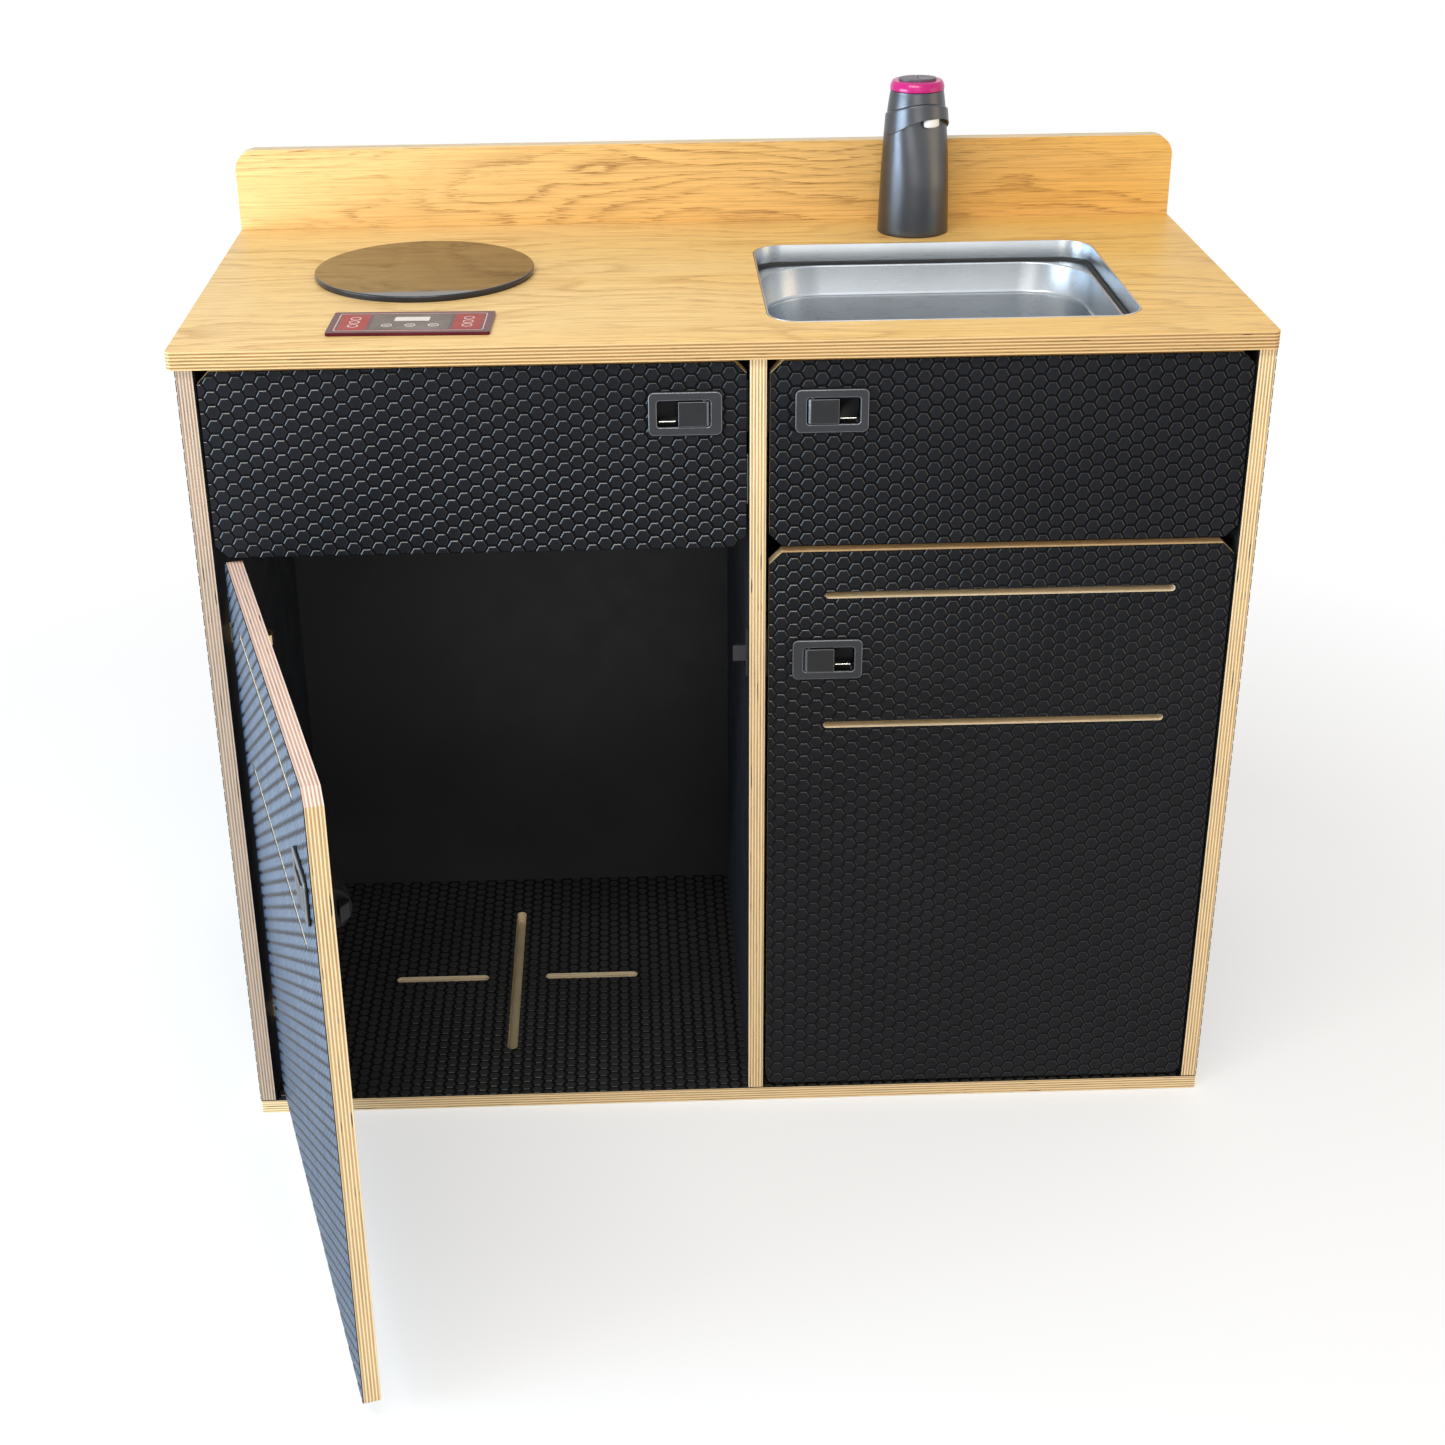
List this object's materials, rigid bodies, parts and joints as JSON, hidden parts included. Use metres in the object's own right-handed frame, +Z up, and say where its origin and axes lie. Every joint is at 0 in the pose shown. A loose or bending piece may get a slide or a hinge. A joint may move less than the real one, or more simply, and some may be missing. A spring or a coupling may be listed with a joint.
{
  "type": "camper van side furniture unit",
  "caption": "Floor-standing van kitchen unit in faced plywood: worktop with sink, tap and round hob, one drawer, three hinged doors with slam latches.",
  "frame": {"origin": "on the floor, under the middle of the carcass footprint", "axes": "+X to the right seen from the front, +Y to the back, +Z up"},
  "size_m": [0.9305, 0.8569, 0.9207],
  "materials": {
    "hex_board": "plywood faced with black film with small raised hexagons, sheen in raking light",
    "smooth_board": "plywood faced with smooth black film",
    "oak_laminate": "satin oak laminate on plywood",
    "plywood": "bare birch plywood",
    "latch_plastic": "satin charcoal moulding",
    "nickel_plate": "nickel plated pressed steel",
    "zinc_steel": "zinc plated rolled steel",
    "hob_glass": "polished black glass ceramic",
    "hob_body": "black enamelled sheet",
    "control_glass": "dark red glass touch panel",
    "stainless": "satin stainless steel",
    "seal_rubber": "black seal",
    "waste_plastic": "black moulding",
    "tap_shell": "gunmetal lacquer",
    "tap_ring": "translucent magenta",
    "tap_button": "satin grey"
  },
  "bodies": {
    "carcass": {"base_panel": "hex_board", "left_side_panel": "hex_board", "right_side_panel": "hex_board", "divider_panel": "hex_board", "back_panel": "smooth_board", "worktop": "oak_laminate", "upstand": "oak_laminate", "drawer_runner_left": "zinc_steel", "drawer_runner_right": "zinc_steel", "left_door_lower_hinge_arm": "nickel_plate", "left_door_upper_hinge_arm": "nickel_plate", "right_door_lower_hinge_arm": "nickel_plate", "right_door_upper_hinge_arm": "nickel_plate", "sink_door_lower_hinge_arm": "nickel_plate", "sink_door_upper_hinge_arm": "nickel_plate", "drawer_striker": "latch_plastic", "sink_door_striker": "latch_plastic", "left_door_striker": "latch_plastic", "right_door_striker": "latch_plastic", "hob_glass": "hob_glass", "hob_body": "hob_body", "control_panel_glass": "control_glass", "control_panel_box": "hob_body", "sink_collar": "stainless", "sink_bowl": "stainless", "sink_seal": "seal_rubber", "waste_strainer": "stainless", "waste_nut": "waste_plastic", "tap_body": "tap_shell", "tap_cap": "tap_shell", "tap_ring": "tap_ring"},
    "drawer": {"drawer_front": "hex_board", "drawer_side_left": "plywood", "drawer_side_right": "plywood", "drawer_bottom": "plywood", "drawer_back": "plywood", "drawer_slide_left": "zinc_steel", "drawer_slide_right": "zinc_steel", "drawer_latch_case": "latch_plastic"},
    "left_door": {"left_door": "hex_board", "left_door_lower_hinge_cup": "nickel_plate", "left_door_upper_hinge_cup": "nickel_plate", "left_door_latch_case": "latch_plastic"},
    "right_door": {"right_door": "hex_board", "right_door_lower_hinge_cup": "nickel_plate", "right_door_upper_hinge_cup": "nickel_plate", "right_door_latch_case": "latch_plastic"},
    "sink_door": {"sink_door": "hex_board", "sink_door_lower_hinge_cup": "nickel_plate", "sink_door_upper_hinge_cup": "nickel_plate", "sink_door_latch_case": "latch_plastic"},
    "drawer_paddle": {"drawer_latch_paddle": "latch_plastic"},
    "left_door_paddle": {"left_door_latch_paddle": "latch_plastic"},
    "right_door_paddle": {"right_door_latch_paddle": "latch_plastic"},
    "sink_door_paddle": {"sink_door_latch_paddle": "latch_plastic"},
    "drawer_bolt": {"drawer_latch_bolt": "latch_plastic"},
    "left_door_bolt": {"left_door_latch_bolt": "latch_plastic"},
    "right_door_bolt": {"right_door_latch_bolt": "latch_plastic"},
    "sink_door_bolt": {"sink_door_latch_bolt": "latch_plastic"},
    "tap_button": {"tap_button": "tap_button"}
  },
  "joints": [
    {"name": "drawer_slide", "type": "slide", "parent": "carcass", "child": "drawer", "axis": [0, -1, 0], "range_m": [0, 0.33]},
    {"name": "left_door_hinge", "type": "hinge", "parent": "carcass", "child": "left_door", "pos_m": [-0.433, -0.209, 0.3], "axis": [0, 0, -1], "range_deg": [-74.3, 20.7]},
    {"name": "right_door_hinge", "type": "hinge", "parent": "carcass", "child": "right_door", "pos_m": [0.433, -0.209, 0.3], "axis": [0, 0, 1], "range_deg": [0, 95]},
    {"name": "sink_door_hinge", "type": "hinge", "parent": "carcass", "child": "sink_door", "pos_m": [0.433, -0.209, 0.671], "axis": [0, 0, 1], "range_deg": [0, 95]},
    {"name": "drawer_paddle_pivot", "type": "hinge", "parent": "drawer", "child": "drawer_paddle", "pos_m": [-0.0206, -0.2155, 0.711], "axis": [0, 0, 1], "range_deg": [0, 28.6]},
    {"name": "left_door_paddle_pivot", "type": "hinge", "parent": "left_door", "child": "left_door_paddle", "pos_m": [-0.32766, -0.60777, 0.4795], "axis": [0, 0, 1], "range_deg": [0, 28.6]},
    {"name": "right_door_paddle_pivot", "type": "hinge", "parent": "right_door", "child": "right_door_paddle", "pos_m": [0.0706, -0.2155, 0.4795], "axis": [0, 0, -1], "range_deg": [0, 28.6]},
    {"name": "sink_door_paddle_pivot", "type": "hinge", "parent": "sink_door", "child": "sink_door_paddle", "pos_m": [0.0706, -0.2155, 0.711], "axis": [0, 0, -1], "range_deg": [0, 28.6]},
    {"name": "drawer_bolt_slide", "type": "slide", "parent": "drawer", "child": "drawer_bolt", "axis": [-1, 0, 0], "range_m": [0, 0.011], "stiffness_N_per_m": 200},
    {"name": "left_door_bolt_slide", "type": "slide", "parent": "left_door", "child": "left_door_bolt", "axis": [-0.2706, 0.9627, 0], "range_m": [0, 0.011], "stiffness_N_per_m": 200},
    {"name": "right_door_bolt_slide", "type": "slide", "parent": "right_door", "child": "right_door_bolt", "axis": [1, 0, 0], "range_m": [0, 0.011], "stiffness_N_per_m": 200},
    {"name": "sink_door_bolt_slide", "type": "slide", "parent": "sink_door", "child": "sink_door_bolt", "axis": [1, 0, 0], "range_m": [0, 0.011], "stiffness_N_per_m": 200},
    {"name": "tap_button_press", "type": "slide", "parent": "carcass", "child": "tap_button", "axis": [0, 0, -1], "range_m": [0, 0.0012], "stiffness_N_per_m": 800}
  ],
  "couplings": [
    {"joint": "drawer_paddle_pivot", "follows": "drawer_bolt_slide", "rad_per_m": 45.249},
    {"joint": "left_door_paddle_pivot", "follows": "left_door_bolt_slide", "rad_per_m": 45.249},
    {"joint": "right_door_paddle_pivot", "follows": "right_door_bolt_slide", "rad_per_m": 45.249},
    {"joint": "sink_door_paddle_pivot", "follows": "sink_door_bolt_slide", "rad_per_m": 45.249}
  ]
}
